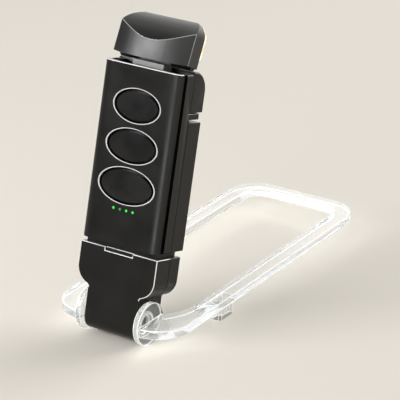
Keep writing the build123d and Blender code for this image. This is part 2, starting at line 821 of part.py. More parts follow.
def build_all():
    pieces = {
        "front_cover": front_cover(),
        "mid_frame": mid_frame(),
        "rear_housing": rear_housing(),
        "clip_pin": clip_pin(),
        "clip_spring": clip_spring(),
        "clip_arm": clip_arm(),
        "clip_plate": clip_plate(),
        "clip_pad": clip_pad(),
        "tact_switches": tact_switches(),
        "charge_lights": charge_lights(),
        "circuit_board": circuit_board(),
        "board_screws": board_screws(),
        "battery": battery(),
        "battery_pad": battery_pad(),
        "dock_plug": dock_plug(),
        "usb_socket": usb_socket(),
        "hinge_pedestal": hinge_pedestal(),
        "head_shell": placed_head(head_shell()),
        "light_frame": placed_head(light_frame()),
        "light_diffuser": placed_head(light_diffuser()),
        "led_board": placed_head(led_board()),
        "head_leds": placed_head(head_leds()),
        "head_pin": placed_head(head_pin()),
        "base_front_shell": base_front_shell(),
        "base_rear_shell": base_rear_shell(),
        "base_screws": base_screws(),
        "bushing_left": bushing(-1),
        "bushing_right": bushing(1),
    }
    for name in button_rims:
        pieces["button_" + name] = button_cap(name)
        pieces["plunger_" + name] = plunger(name)
    placed = {name: stand(shape) for name, shape in pieces.items()}
    placed["bracket_loop"] = level(bracket_loop())
    placed["retaining_clip_left"] = level(retaining_clip(-1))
    placed["retaining_clip_right"] = level(retaining_clip(1))
    return placed


os.makedirs("parts", exist_ok=True)
for node, shape in build_all().items():
    export_step(shape, os.path.join("parts", node + ".step"))
    box = shape.bounding_box()
    print(node, len(shape.solids()), "solids", [round(v, 2) for v in (*box.min, *box.max)])
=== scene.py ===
# %% [markdown]
# # A clip-on book light
#
# The light stands on a clear plastic loop. A slim black lamp with three oval buttons is docked in a short
# base, a light bar is hinged on top of it, and a page clip lies flat along its back. The measured solids
# come in as a frame, and this lesson dresses them: moulded shells get the small rounded edges that catch
# light, the clear loop gets its polished edges, and each plastic gets its own finish.

# %% Load the frame
import json
import math
import bmesh
import bpy
from mathutils import Matrix, Vector


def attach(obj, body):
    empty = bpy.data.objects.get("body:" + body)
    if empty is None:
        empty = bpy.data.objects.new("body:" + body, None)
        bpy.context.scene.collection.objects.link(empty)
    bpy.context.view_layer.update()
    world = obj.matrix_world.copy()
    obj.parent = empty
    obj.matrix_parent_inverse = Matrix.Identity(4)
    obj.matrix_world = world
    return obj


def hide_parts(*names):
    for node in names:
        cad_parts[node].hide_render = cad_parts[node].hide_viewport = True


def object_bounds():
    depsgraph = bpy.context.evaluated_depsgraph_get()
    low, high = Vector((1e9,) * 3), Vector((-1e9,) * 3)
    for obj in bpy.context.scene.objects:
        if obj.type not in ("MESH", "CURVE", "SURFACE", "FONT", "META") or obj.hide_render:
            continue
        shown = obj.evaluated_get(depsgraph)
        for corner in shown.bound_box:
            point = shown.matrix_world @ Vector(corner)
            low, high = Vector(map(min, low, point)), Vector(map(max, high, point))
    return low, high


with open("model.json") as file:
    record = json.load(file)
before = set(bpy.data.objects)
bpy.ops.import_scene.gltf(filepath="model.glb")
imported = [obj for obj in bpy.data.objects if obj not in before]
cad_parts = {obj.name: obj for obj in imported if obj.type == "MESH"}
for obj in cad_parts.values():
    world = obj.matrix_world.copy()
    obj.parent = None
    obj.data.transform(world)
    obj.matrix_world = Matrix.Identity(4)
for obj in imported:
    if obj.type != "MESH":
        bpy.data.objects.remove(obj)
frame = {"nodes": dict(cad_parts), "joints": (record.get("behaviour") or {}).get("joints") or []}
cad_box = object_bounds()
nodes = frame["nodes"]

# %% [markdown]
# ## The lamp's own upright frame
#
# The lamp leans back, so its buttons and seams are easiest to place in a frame that leans with it. The angle
# could be typed in. Here it comes from the dock, whose slide runs along the lamp, so the two always agree,
# and turning by that angle stands the lamp upright. The head leans back further and turns on its pin, so it
# has a frame of its own with the pin as its zero.

# %% Upright frame
mm = 0.001
joint = {entry["name"]: entry for entry in frame["joints"]}
dock_axis = Vector(joint["lamp_dock"]["axis"])
lean = math.atan2(dock_axis.y, dock_axis.z)
to_upright = Matrix.Rotation(lean, 4, "X")
from_upright = to_upright.inverted()


def upright_box(node):
    """Lowest and highest corner of a node, measured along the lamp."""
    places = [to_upright @ vertex.co for vertex in nodes[node].data.vertices]
    low = Vector([min(place[axis] for place in places) for axis in range(3)])
    high = Vector([max(place[axis] for place in places) for axis in range(3)])
    return low, high


cover_low, cover_high = upright_box("front_cover")
zero = Vector((0, cover_low.y, cover_low.z))   # the middle of the cover's lower front edge
to_lamp = Matrix.Translation(-zero) @ to_upright
head_lean = math.radians(14)   # the head leans back this much from the line of the lamp
pin_place = Vector(joint["head_tilt"]["pos_m"])
to_head = Matrix.Rotation(lean + head_lean, 4, "X") @ Matrix.Translation(-pin_place)
print("lean %.1f degrees, cover %.1f mm tall" % (math.degrees(lean), (cover_high - cover_low).z / mm))

# %% [markdown]
# ## Colours and nodes
#
# Colours are given as sRGB hex, which Blender wants as linear numbers. Every material is a small tree
# of nodes. It could be wired by hand in the shader editor, but written out it can be read and changed, so one
# function adds a node with its settings and what feeds it.

# %% Colour and node helpers
mix_a = 6        # a colour Mix node's first colour, second colour and result
mix_b = 7
mix_result = 2


def linear(hex_colour):
    """sRGB hex to a linear colour with full alpha."""
    parts = [int(hex_colour[i:i + 2], 16) / 255 for i in (1, 3, 5)]
    return [part / 12.92 if part <= 0.04045 else ((part + 0.055) / 1.055) ** 2.4 for part in parts] + [1.0]


def add(tree, kind, settings=None, inputs=None):
    """Adds a node. An input is a plain value, or a socket to link from."""
    node = tree.nodes.new(kind)
    for key, value in (settings or {}).items():
        setattr(node, key, value)
    for key, value in (inputs or {}).items():
        if isinstance(value, bpy.types.NodeSocket):
            tree.links.new(value, node.inputs[key])
        else:
            node.inputs[key].default_value = value
    return node


def new_material(name):
    """An empty node material and its output node."""
    material = bpy.data.materials.new(name)
    material.use_nodes = True
    material.node_tree.nodes.clear()
    return material, add(material.node_tree, "ShaderNodeOutputMaterial")


def shade(material, output, shader):
    """Links the finished shader to the output."""
    material.node_tree.links.new(shader, output.inputs["Surface"])
    return material


print("black reads %.4f as a linear colour" % linear("#0a0a0a")[0])

# %% [markdown]
# ## Moulded plastics
#
# The shells are ABS, injection moulded in a spark-eroded tool. That leaves a very fine even grain which
# spreads the light a little, so the black is never a flat black. A painted texture would need the shells
# unwrapped. Noise that is read at the point itself doesn't, and its size is given in millimetres. The real
# grit is about 0.05 mm, too fine for the picture, so it is drawn at 0.35 mm. A second, much larger noise
# shifts the tone and the roughness, as hands do where they polish the plastic.

# %% Moulded plastic
abs_ior = 1.53
patch_size = 9 * mm   # how far apart the polished patches lie
noise_low = 0.3       # nearly all of a noise lies between these two values
noise_high = 0.7
smoother = 0.04       # a polished patch is this much smoother than the rest
rougher = 0.05        # and an untouched one this much rougher


def moulded(name, dark, light, roughness, grit=0.35, depth=0.02, specular=0.5, coat=0.0):
    """Plastic with a fine grain and a slight drift of tone and roughness. Grit and depth are in mm."""
    material, output = new_material(name)
    tree = material.node_tree
    place = add(tree, "ShaderNodeTexCoord").outputs["Object"]
    drift = add(tree, "ShaderNodeTexNoise", inputs={
        "Vector": place, "Scale": 1 / patch_size, "Detail": 2.0})
    grain = add(tree, "ShaderNodeTexNoise", inputs={
        "Vector": place, "Scale": 1 / (grit * mm), "Detail": 3.0})
    colour = add(tree, "ShaderNodeMix", {"data_type": "RGBA"}, {
        "Factor": drift.outputs["Fac"], mix_a: linear(dark), mix_b: linear(light)})
    rough = add(tree, "ShaderNodeMapRange", inputs={
        "Value": drift.outputs["Fac"], "From Min": noise_low, "From Max": noise_high,
        "To Min": roughness - smoother, "To Max": roughness + rougher})
    bump = add(tree, "ShaderNodeBump", inputs={
        "Height": grain.outputs["Fac"], "Strength": 0.5, "Distance": depth * mm})
    shader = add(tree, "ShaderNodeBsdfPrincipled", inputs={
        "Base Color": colour.outputs[mix_result], "Roughness": rough.outputs["Result"],
        "Normal": bump.outputs["Normal"], "IOR": abs_ior, "Specular IOR Level": specular,
        "Coat Weight": coat, "Coat Roughness": 0.08})
    return shade(material, output, shader.outputs["BSDF"])


# The shells: near black, with a wide soft highlight
abs_black = moulded("abs_black_moulded", "#0a0a0a", "#0e0e0d", roughness=0.33, depth=0.01, specular=0.22)
# The head: the same black plastic with a paler base colour, which is painted light, and shinier, so that its
# bends show
abs_head = moulded("abs_black_head_painted_paler", "#101010", "#161515", roughness=0.36, depth=0.01, specular=0.45)
# The buttons' wells, from a polished tool: dark, with a sharp shine
abs_gloss = moulded("abs_black_polished", "#0a0a0a", "#0e0e0e", roughness=0.12, depth=0.004,
                    specular=1.0, coat=1.0)
# The caps: smoother than the shells, with a tighter highlight on the crown
abs_cap = moulded("abs_black_cap", "#0d0d0d", "#131313", roughness=0.26, specular=0.27)
# The hinge block: plain light grey
abs_grey = moulded("abs_grey_moulded", "#868686", "#949493", roughness=0.35)
# Polished lips and edges. Black ones that mirror a bright room read as pale lines, and since those are finer
# than a pixel, the edges themselves are painted pale: a painted highlight, not the plastic's own colour
rim_painted_highlight = moulded("abs_rim_painted_highlight", "#b8b8b9", "#c6c6c6", roughness=0.2, depth=0.0)
edge_painted_highlight = moulded("abs_edge_painted_highlight", "#7d7d7d", "#8c8c8c", roughness=0.22, depth=0.0)
edge_painted_highlight_pale = moulded("abs_edge_painted_highlight_pale", "#e8e8e8", "#f4f4f4", roughness=0.2, depth=0.0)
# The gaps between the shells: painted shade, black because no light comes back out
seam_shadow = moulded("abs_black_seam_painted_shade", "#020202", "#030303", roughness=0.8, depth=0.0, specular=0.0)
# The light board and its frame: satin white
abs_white = moulded("abs_white_moulded", "#e6e5e0", "#eeede8", roughness=0.4)
# The bushings: milky, with no pigment
nylon = moulded("nylon_natural", "#d8d5c8", "#e0ddd2", roughness=0.45)
# The switches and plungers: dull dark grey
switch_plastic = moulded("phenolic_switch_black", "#222222", "#2a2a2a", roughness=0.5)
# The clip's grip pad: matte, with a grain that can be felt
rubber = moulded("silicone_rubber_black", "#151515", "#1b1b1b", roughness=0.7, grit=0.25, depth=0.03)
# The battery's tape: open cells, no shine
foam = moulded("foam_tape_grey", "#3a3a3a", "#474747", roughness=0.9, grit=0.6, depth=0.12)
# The circuit board: green lacquer over glass cloth, shiny with a slight weave
board_lacquer = moulded("board_green_lacquer", "#0d4a20", "#11582a", roughness=0.25, grit=0.8, depth=0.01)
print("black shells", abs_black.name, abs_head.name, abs_gloss.name, abs_cap.name)

# %% [markdown]
# ## Metals
#
# Pins, screws, the spring strip and the socket's shell are stainless steel, drawn or stamped, so fine lines
# run along them and pull the highlight out. The battery is wrapped in aluminium foil, and its crinkles break
# the shine up. An anisotropic shader could draw the lines, but noise squeezed along one axis makes both.

# %% Metals
metal_drift = 0.06   # how much the roughness changes from mark to mark


def metal(name, hex_colour, roughness, marks, depth):
    """Metal with a fine relief. The marks have a size along X, Y and Z, and all sizes are in mm."""
    material, output = new_material(name)
    tree = material.node_tree
    place = add(tree, "ShaderNodeTexCoord").outputs["Object"]
    sized = add(tree, "ShaderNodeMapping", inputs={
        "Vector": place, "Scale": [1 / (size * mm) for size in marks]})
    relief = add(tree, "ShaderNodeTexNoise", inputs={
        "Vector": sized.outputs["Vector"], "Scale": 1.0, "Detail": 2.0})
    rough = add(tree, "ShaderNodeMapRange", inputs={
        "Value": relief.outputs["Fac"], "To Min": roughness - metal_drift,
        "To Max": roughness + metal_drift})
    bump = add(tree, "ShaderNodeBump", inputs={
        "Height": relief.outputs["Fac"], "Strength": 0.4, "Distance": depth * mm})
    shader = add(tree, "ShaderNodeBsdfPrincipled", inputs={
        "Base Color": linear(hex_colour), "Metallic": 1.0, "Roughness": rough.outputs["Result"],
        "Normal": bump.outputs["Normal"]})
    return shade(material, output, shader.outputs["BSDF"])


# Drawn steel: satin, with lines along X, as the pins lie
stainless = metal("stainless_drawn", "#c4c5c7", roughness=0.28, marks=(1.44, 0.12, 0.12), depth=0.006)
# Foil: brighter, with crinkles of a few millimetres
foil = metal("aluminium_foil_wrap", "#cfd0d2", roughness=0.35, marks=(2.4, 2.4, 2.4), depth=0.05)
print("metals", stainless.name, foil.name)

# %% [markdown]
# ## Clear polycarbonate
#
# The loop is one clear moulding with polished edges. Its rounded edges bend the light and gather the bright
# room into white lines, while its flat faces stay see-through. Refraction alone could draw that, but the
# white of the lines and the clearness of the faces couldn't be set apart. So the faces are a weak glass with
# a little painted white sheen where they turn away, and the rounded edges get a second material that is
# mostly white: a painted highlight with a faint painted glow. A ray of shadow passes through, because a
# clear bar throws almost none.

# %% Clear plastic
drawn_ior = 1.16   # less than the real plastic's 1.58, so that the bars bend less of what lies behind


def clear_plastic(name, face_white, edge_white, painted_glow):
    """Glass with a painted white sheen mixed in: face_white where it faces the eye, edge_white where it
    turns away. Its glow is painted light.
    """
    material, output = new_material(name)
    tree = material.node_tree
    place = add(tree, "ShaderNodeTexCoord").outputs["Object"]
    flow = add(tree, "ShaderNodeTexNoise", inputs={
        "Vector": place, "Scale": 1 / patch_size, "Detail": 1.0})
    cloud = add(tree, "ShaderNodeMapRange", inputs={
        "Value": flow.outputs["Fac"], "From Min": noise_low, "From Max": noise_high,
        "To Min": 0.03, "To Max": 0.08})
    glass = add(tree, "ShaderNodeBsdfPrincipled", inputs={
        "Base Color": linear("#eff1f1"), "Roughness": cloud.outputs["Result"], "IOR": drawn_ior,
        "Transmission Weight": 1.0})
    white = add(tree, "ShaderNodeBsdfPrincipled", inputs={
        "Base Color": linear("#f4f5f5"), "Roughness": 0.3, "Emission Color": linear("#ffffff"),
        "Emission Strength": painted_glow})
    facing = add(tree, "ShaderNodeLayerWeight", inputs={"Blend": 0.35})
    edge = add(tree, "ShaderNodeMapRange", inputs={
        "Value": facing.outputs["Facing"], "From Min": 0.35, "From Max": 1.0,
        "To Min": face_white, "To Max": edge_white})
    body = add(tree, "ShaderNodeMixShader", inputs={
        0: edge.outputs["Result"], 1: glass.outputs["BSDF"], 2: white.outputs["BSDF"]})
    through = add(tree, "ShaderNodeBsdfTransparent", inputs={"Color": linear("#fafafa")})
    light_path = add(tree, "ShaderNodeLightPath")
    final = add(tree, "ShaderNodeMixShader", inputs={
        0: light_path.outputs["Is Shadow Ray"], 1: body.outputs["Shader"], 2: through.outputs["BSDF"]})
    return shade(material, output, final.outputs["Shader"])


# Flat faces: see-through, with a little painted white sheen at a slant
polycarbonate = clear_plastic("polycarbonate_clear", face_white=0.1, edge_white=0.45, painted_glow=0.0)
# Rounded edges: white lines of painted highlight, with a faint painted glow
polycarbonate_edge = clear_plastic("polycarbonate_clear_edge_painted_highlight", face_white=0.8, edge_white=1.0, painted_glow=0.15)
print("clear plastics", polycarbonate.name, polycarbonate_edge.name)

# %% [markdown]
# ## Charge lights
#
# Four green light pipes show the charge. Real light diodes behind them make each one bright in the middle and
# dim at its rim. Lamps behind the pipes could do that, but a glowing material costs no noise, and the
# distance from the nearest pipe's middle fades it. The second pipe from the left is dimmer than the others.

# %% Lit plastics
lights_low, lights_high = upright_box("charge_lights")
light_count = 4
light_width = lights_high.z - lights_low.z
light_pitch = (lights_high.x - lights_low.x - light_width) / (light_count - 1)
second_light_share = 0.35
core_share = 0.2    # shares of a pipe's width where it is brightest and dimmest
rim_share = 0.48


def lit(name, hex_colour, strength, rim_strength):
    """Glowing plastic, at full strength in the middle of each charge light and fading to its rim."""
    material, output = new_material(name)
    tree = material.node_tree
    place = add(tree, "ShaderNodeTexCoord").outputs["Object"]
    turned = add(tree, "ShaderNodeVectorRotate", {"rotation_type": "X_AXIS"}, {
        "Vector": place, "Angle": lean})
    parts = add(tree, "ShaderNodeSeparateXYZ", inputs={"Vector": turned.outputs[0]})
    shifted = add(tree, "ShaderNodeMath", {"operation": "ADD"}, {
        0: parts.outputs["X"], 1: light_pitch / 2})
    across = add(tree, "ShaderNodeMath", {"operation": "PINGPONG"}, {
        0: shifted.outputs[0], 1: light_pitch / 2})
    up = add(tree, "ShaderNodeMath", {"operation": "SUBTRACT"}, {
        0: parts.outputs["Z"], 1: (lights_low.z + lights_high.z) / 2})
    flat = add(tree, "ShaderNodeCombineXYZ", inputs={"X": across.outputs[0], "Z": up.outputs[0]})
    distance = add(tree, "ShaderNodeVectorMath", {"operation": "LENGTH"}, {0: flat.outputs[0]})
    fade = add(tree, "ShaderNodeMapRange", {"interpolation_type": "SMOOTHSTEP"}, {
        "Value": distance.outputs["Value"], "From Min": light_width * core_share,
        "From Max": light_width * rim_share, "To Min": strength, "To Max": rim_strength})
    second = add(tree, "ShaderNodeMath", {"operation": "COMPARE"}, {
        0: parts.outputs["X"], 1: -light_pitch / 2, 2: light_pitch / 2})
    dim = add(tree, "ShaderNodeMapRange", inputs={
        "Value": second.outputs[0], "To Min": 1.0, "To Max": second_light_share})
    power = add(tree, "ShaderNodeMath", {"operation": "MULTIPLY"}, {
        0: fade.outputs["Result"], 1: dim.outputs["Result"]})
    shader = add(tree, "ShaderNodeBsdfPrincipled", inputs={
        "Base Color": linear("#0c3a14"), "Roughness": 0.25, "Emission Color": linear(hex_colour),
        "Emission Strength": power.outputs[0]})
    return shade(material, output, shader.outputs["BSDF"])


# The charge lights: green, with dark rims
charge_green = lit("acrylic_green_lit", "#35ee52", strength=1.5, rim_strength=0.04)
# The chips on the light board, yellow from their phosphor. The lens hides them, so the same tree will do
chip_yellow = lit("phosphor_yellow_lit", "#ffb347", strength=1.0, rim_strength=1.0)
print("charge lights %.2f mm across, %.2f mm apart" % (light_width / mm, light_pitch / mm))

# %% [markdown]
# ## The light bar's lens
#
# The lens is opal acrylic lit from inside: warm white, with a deeper spot in front of each chip, and amber
# light leaking out of its ends. Lamps inside the head would need a lens that scatters light and would be
# slow and noisy, so the lens glows by itself. The spots repeat at the chips' own pitch, which is read from
# the light board.

# %% Where the chips are
chip_places = [to_head @ vertex.co for vertex in nodes["head_leds"].data.vertices]
chip_edges = sorted({round(place.x, 5) for place in chip_places})   # left and right edge of each chip
chip_half = (chip_edges[1] - chip_edges[0]) / 2
chip_pitch = chip_edges[2] - chip_edges[0]
chip_height = sum(place.z for place in chip_places) / len(chip_places)
print("chips %.2f mm apart, %.2f mm above the pin" % (chip_pitch / mm, chip_height / mm))

# %% Opal lens
spot_core = 0.4 * mm
spot_edge = 2.0 * mm
spot_amber = 0.8
leak_size = 3.5 * mm
leak_low = 0.48      # the noise values between which a leak fades in
leak_high = 0.62


def opal_lens(name):
    """Warm white with an amber spot over each chip, and amber patches on the lens's ends."""
    material, output = new_material(name)
    tree = material.node_tree
    place = add(tree, "ShaderNodeTexCoord").outputs["Object"]
    shifted = add(tree, "ShaderNodeVectorMath", {"operation": "SUBTRACT"}, {0: place, 1: pin_place})
    turned = add(tree, "ShaderNodeVectorRotate", {"rotation_type": "X_AXIS"}, {
        "Vector": shifted.outputs[0], "Angle": lean + head_lean})
    parts = add(tree, "ShaderNodeSeparateXYZ", inputs={"Vector": turned.outputs[0]})
    moved = add(tree, "ShaderNodeMath", {"operation": "SUBTRACT"}, {
        0: parts.outputs["X"], 1: chip_edges[0] + chip_half})
    across = add(tree, "ShaderNodeMath", {"operation": "PINGPONG"}, {
        0: moved.outputs[0], 1: chip_pitch / 2})
    along = add(tree, "ShaderNodeMath", {"operation": "SUBTRACT"}, {0: parts.outputs["Z"], 1: chip_height})
    flat = add(tree, "ShaderNodeCombineXYZ", inputs={"X": across.outputs[0], "Z": along.outputs[0]})
    distance = add(tree, "ShaderNodeVectorMath", {"operation": "LENGTH"}, {0: flat.outputs[0]})
    spot = add(tree, "ShaderNodeMapRange", {"interpolation_type": "SMOOTHSTEP"}, {
        "Value": distance.outputs["Value"], "From Min": spot_core, "From Max": spot_edge,
        "To Min": spot_amber, "To Max": 0.0})
    surface = add(tree, "ShaderNodeNewGeometry")
    facing = add(tree, "ShaderNodeSeparateXYZ", inputs={"Vector": surface.outputs["Normal"]})
    sideways = add(tree, "ShaderNodeMath", {"operation": "ABSOLUTE"}, {0: facing.outputs["X"]})
    patches = add(tree, "ShaderNodeTexNoise", inputs={
        "Vector": place, "Scale": 1 / leak_size, "Detail": 1.0})
    leak = add(tree, "ShaderNodeMapRange", {"interpolation_type": "SMOOTHSTEP"}, {
        "Value": patches.outputs["Fac"], "From Min": leak_low, "From Max": leak_high})
    end = add(tree, "ShaderNodeMath", {"operation": "MULTIPLY"}, {
        0: sideways.outputs[0], 1: leak.outputs["Result"]})
    amber = add(tree, "ShaderNodeMath", {"operation": "MAXIMUM"}, {
        0: spot.outputs["Result"], 1: end.outputs[0]})
    colour = add(tree, "ShaderNodeMix", {"data_type": "RGBA"}, {
        "Factor": amber.outputs[0], mix_a: linear("#fff6e2"), mix_b: linear("#ffbe7c")})
    shader = add(tree, "ShaderNodeBsdfPrincipled", inputs={
        "Base Color": linear("#4c463a"), "Roughness": 0.35, "Emission Color": colour.outputs[mix_result],
        "Emission Strength": 1.2})
    return shade(material, output, shader.outputs["BSDF"])


opal = opal_lens("acrylic_opal_lit")
print("lens", opal.name)

# %% [markdown]
# ## Rounding the edges of a moulding
#
# A mould never leaves a knife edge: each one has a radius of a few tenths of a millimetre, and that is what
# draws the bright lines round the shells. bmesh could cut the radius into the mesh, but then smooth shading
# spreads over the flat faces beside it. The Bevel modifier hardens the normals and gives the new strips a
# material of their own, so it is used here. On the bright edges that material is pale, a painted highlight,
# and along the seams it is black, a painted shade. Each piece is a copy of its solid, merged and with its
# flat faces made whole. Only the loop keeps its triangles, because one face can't hold a hole.

# %% Softened copies
merge_distance = 0.002 * mm
flat_angle = math.radians(0.5)
bevel_angle = math.radians(38)
shortest_bright = 0.03 * mm   # shorter edges would only make a spot


def whole_mesh(node, keep_triangles=False):
    """A merged copy of a solid's mesh, with its flat faces made whole unless it keeps its triangles."""
    mesh = bmesh.new()
    mesh.from_mesh(nodes[node].data)
    bmesh.ops.remove_doubles(mesh, verts=mesh.verts, dist=merge_distance)
    if not keep_triangles:
        bmesh.ops.dissolve_limit(mesh, angle_limit=flat_angle, verts=mesh.verts, edges=mesh.edges)
    return mesh


def show(name, mesh, material, body, *stands_for, angle=35):
    """Makes a piece of a finished bmesh, smooth but for edges sharper than the angle."""
    data = bpy.data.meshes.new(name)
    mesh.to_mesh(data)
    mesh.free()
    data.materials.append(material)
    data.shade_smooth()
    data.set_sharp_from_angle(angle=math.radians(angle))
    piece = bpy.data.objects.new(name, data)
    bpy.context.scene.collection.objects.link(piece)
    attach(piece, body)
    if stands_for:
        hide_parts(*stands_for)
    return piece


def brighten(mesh, to_frame, is_bright, least_angle):
    """Gives the chosen sharp edges a bevel weight, for the first bevel to find, and counts them."""
    weight = mesh.edges.layers.float.new("bevel_weight_edge")
    chosen = 0
    for edge in mesh.edges:
        long_enough = edge.calc_length() > shortest_bright
        if long_enough and len(edge.link_faces) == 2 and edge.calc_face_angle(0) > math.radians(least_angle):
            ends = [to_frame @ vertex.co / mm for vertex in edge.verts]
            if is_bright(ends[0]) and is_bright(ends[1]):
                edge[weight] = 1.0
                chosen += 1
    return chosen


def round_edges(piece, name, width, segments, limit, miter="MITER_ARC"):
    """Rounds a piece's weighted edges, or all its sharp ones. The width is in mm."""
    bevel = piece.modifiers.new(name, "BEVEL")
    bevel.width = width * mm
    bevel.segments = segments
    bevel.limit_method = limit
    bevel.angle_limit = bevel_angle
    bevel.use_clamp_overlap = False
    bevel.harden_normals = True
    bevel.miter_outer = miter
    return bevel


def softened(node, material, body, width, edge_material=None, is_bright=None, to_frame=to_lamp,
             bright_width=0.22, segments=2, keep_triangles=False, sharp=35):
    """A copy of a node with rounded edges, in its place. The widths are in mm."""
    mesh = whole_mesh(node, keep_triangles)
    if is_bright:
        print(node, "bright edges", brighten(mesh, to_frame, is_bright, sharp))
    piece = show(node + "_soft", mesh, material, body, node, angle=sharp)
    # The second material paints a pale highlight on the edges that get it
    if edge_material:
        piece.data.materials.append(edge_material)
    if is_bright:
        round_edges(piece, "bright_edges", bright_width, 2, "WEIGHT", "MITER_SHARP").material = 1
    round_edges(piece, "edges", width, segments, "ANGLE")
    return piece


# %% [markdown]
# ## Which edges are bright
#
# Only some edges catch the light: the upper outline of the cover and of its corners, the base's rim and
# front outline with the thumb nick, the hump over the clip and the lug under it, and the outline of the
# head's face. There a pale material paints the highlight. They could be picked by number, but a number
# changes with every new mesh, so each is picked by its place. Places are in millimetres in the lamp's upright
# frame, and in the head's own frame for the head.

# %% Bright edges
cover_half = cover_high.x / mm
cover_top = (cover_high - cover_low).z / mm
cover_back = (cover_high - cover_low).y / mm
base_low, base_high = upright_box("base_front_shell")
base_half = base_high.x / mm
base_front = (base_low.y - zero.y) / mm
base_top = (base_high.z - zero.z) / mm
lug_low, hump_high = upright_box("rear_housing")
hump_top = (hump_high.z - zero.z) / mm
lug_bottom = (lug_low.z - zero.z) / mm
head_half = max((to_head @ vertex.co).x for vertex in nodes["head_shell"].data.vertices) / mm

cover_seam = 0.1      # the seam behind the cover stays dark
frame_corner = 1.9    # the side band's top is lit this far in from its corners
rim_depth = 1.8       # how far back the base's rim is lit
side_wall = 0.3       # how far in from its side the rim is lit
outline_foot = -24    # the base's front outline is lit down to here
hump_front = 9.0      # the hump's front edge lies before this
lug_height = 2.3
lug_side = 1.1        # only the lug's outer ends are lit
face_front = -4.1     # the head's face lies in front of this
face_ridge = 4.9      # and the ridge over it above this
face_end = 0.1        # its right end is lit and its left end isn't


def near(value, target, room=0.06):
    """Whether a place agrees with a measured one, in mm."""
    return abs(value - target) < room


def cover_bright(place):
    return near(place.z, cover_top) and place.y < cover_back - cover_seam


def frame_bright(place):
    return near(place.z, cover_top) and abs(place.x) > cover_half - frame_corner


def base_rear_bright(place):
    return near(place.z, base_top) and abs(place.x) > base_half - side_wall


def base_bright(place):
    at_front = near(place.z, base_top) and place.y < rim_depth
    return at_front or base_rear_bright(place) or (near(place.y, base_front) and place.z > outline_foot)


def housing_bright(place):
    at_hump = near(place.z, hump_top) and place.y < hump_front
    return at_hump or (place.z < lug_bottom + lug_height and abs(place.x) > cover_half - lug_side)


def head_bright(place):
    ridge = place.z > face_ridge and place.x > face_end - head_half
    return place.y < face_front and (ridge or place.x > head_half - face_end)


print("half widths: cover %.1f, base %.1f, head %.1f mm" % (cover_half, base_half, head_half))

# %% [markdown]
# ## Well walls and seams
#
# The buttons lie in wells with polished walls, darker and glossier than the grained cover around them. They
# could be separate linings, but a third material on the cover's own faces leaves no gap, so the walls are
# found by their depth behind the cover's face. The gaps between shells are dark for another reason: light
# that goes in doesn't come out. There the rounded edges along the seam get a matte black, a painted shade.

# %% Well walls and seams
face_skin = 0.03     # the walls start just behind the cover's face
wall_depth = 1.6
wells_half = 11.5    # half the width of the widest well, with some room
wells_bottom = 12
wells_below_top = 3


def polish_wells(piece):
    """Gives the faces inside the cover's wells the polished black."""
    piece.data.materials.append(abs_gloss)
    polished = 0
    for face in piece.data.polygons:
        place = to_lamp @ face.center / mm
        deep = face_skin < place.y < wall_depth
        if deep and abs(place.x) < wells_half and wells_bottom < place.z < cover_top - wells_below_top:
            face.material_index = 2
            polished += 1
    print(piece.name, "polished faces", polished)


def darken_seams(piece):
    """Paints the shade of a gap, in matte black, on a piece's rounded edges apart from the bright ones."""
    piece.data.materials.append(seam_shadow)
    piece.modifiers["edges"].material = 2


# %% [markdown]
# ## The shells and the loop
#
# Each shell is the solid itself with the radius that its mould would leave: small where two shells meet, and
# larger on the lens and on the polished loop. A shell could be modelled again from nothing, but a copy keeps
# the measured shape, so that buttons, seams and hinges still fit.

# %% Soft copies of the shells
cover_piece = softened("front_cover", abs_black, "lamp", width=0.12, edge_material=edge_painted_highlight_pale,
                       is_bright=cover_bright, bright_width=0.28)
polish_wells(cover_piece)
band_piece = softened("mid_frame", abs_black, "lamp", width=0.2, edge_material=edge_painted_highlight_pale,
                      is_bright=frame_bright)
darken_seams(band_piece)
softened("rear_housing", abs_black, "lamp", width=0.06, edge_material=edge_painted_highlight, is_bright=housing_bright,
         bright_width=0.15)
softened("clip_arm", abs_black, "page_clip", width=0.12)
softened("base_front_shell", abs_black, "base", width=0.12, edge_material=edge_painted_highlight_pale,
         is_bright=base_bright)
rear_piece = softened("base_rear_shell", abs_black, "base", width=0.14, edge_material=edge_painted_highlight_pale,
                      is_bright=base_rear_bright)
darken_seams(rear_piece)
softened("head_shell", abs_head, "head", width=0.06, edge_material=edge_painted_highlight, is_bright=head_bright,
         to_frame=to_head, bright_width=0.16, sharp=14)
softened("hinge_pedestal", abs_grey, "lamp", width=0.12)
softened("light_diffuser", opal, "head", width=0.3, segments=3)
loop_piece = softened("bracket_loop", polycarbonate, "bracket", width=0.32,
                      edge_material=polycarbonate_edge, keep_triangles=True)
# All the loop's rounded edges get the painted white highlight
loop_piece.modifiers["edges"].material = 1

# %% [markdown]
# ## Finishes of the other solids
#
# The small parts keep their solids and get their real finish. Most of them are hidden until the lamp is
# opened, but a joint can bring a pin, a screw or the socket into view. Their edges could be rounded too, but
# at their size that wouldn't show.

# %% Materials on the carried nodes
finishes = {
    abs_black: ["clip_plate", "dock_plug"],
    abs_cap: ["button_top", "button_middle", "button_bottom"],
    stainless: ["clip_pin", "clip_spring", "board_screws", "usb_socket", "head_pin", "base_screws",
                "retaining_clip_left", "retaining_clip_right"],
    foil: ["battery"],
    foam: ["battery_pad"],
    rubber: ["clip_pad"],
    nylon: ["bushing_left", "bushing_right"],
    switch_plastic: ["tact_switches", "plunger_top", "plunger_middle", "plunger_bottom"],
    abs_white: ["light_frame", "led_board"],
    board_lacquer: ["circuit_board"],
    charge_green: ["charge_lights"],
    chip_yellow: ["head_leds"],
}
for material, names in finishes.items():
    for name in names:
        data = nodes[name].data
        data.materials.clear()
        data.materials.append(material)
print("finished", sum(len(names) for names in finishes.values()))

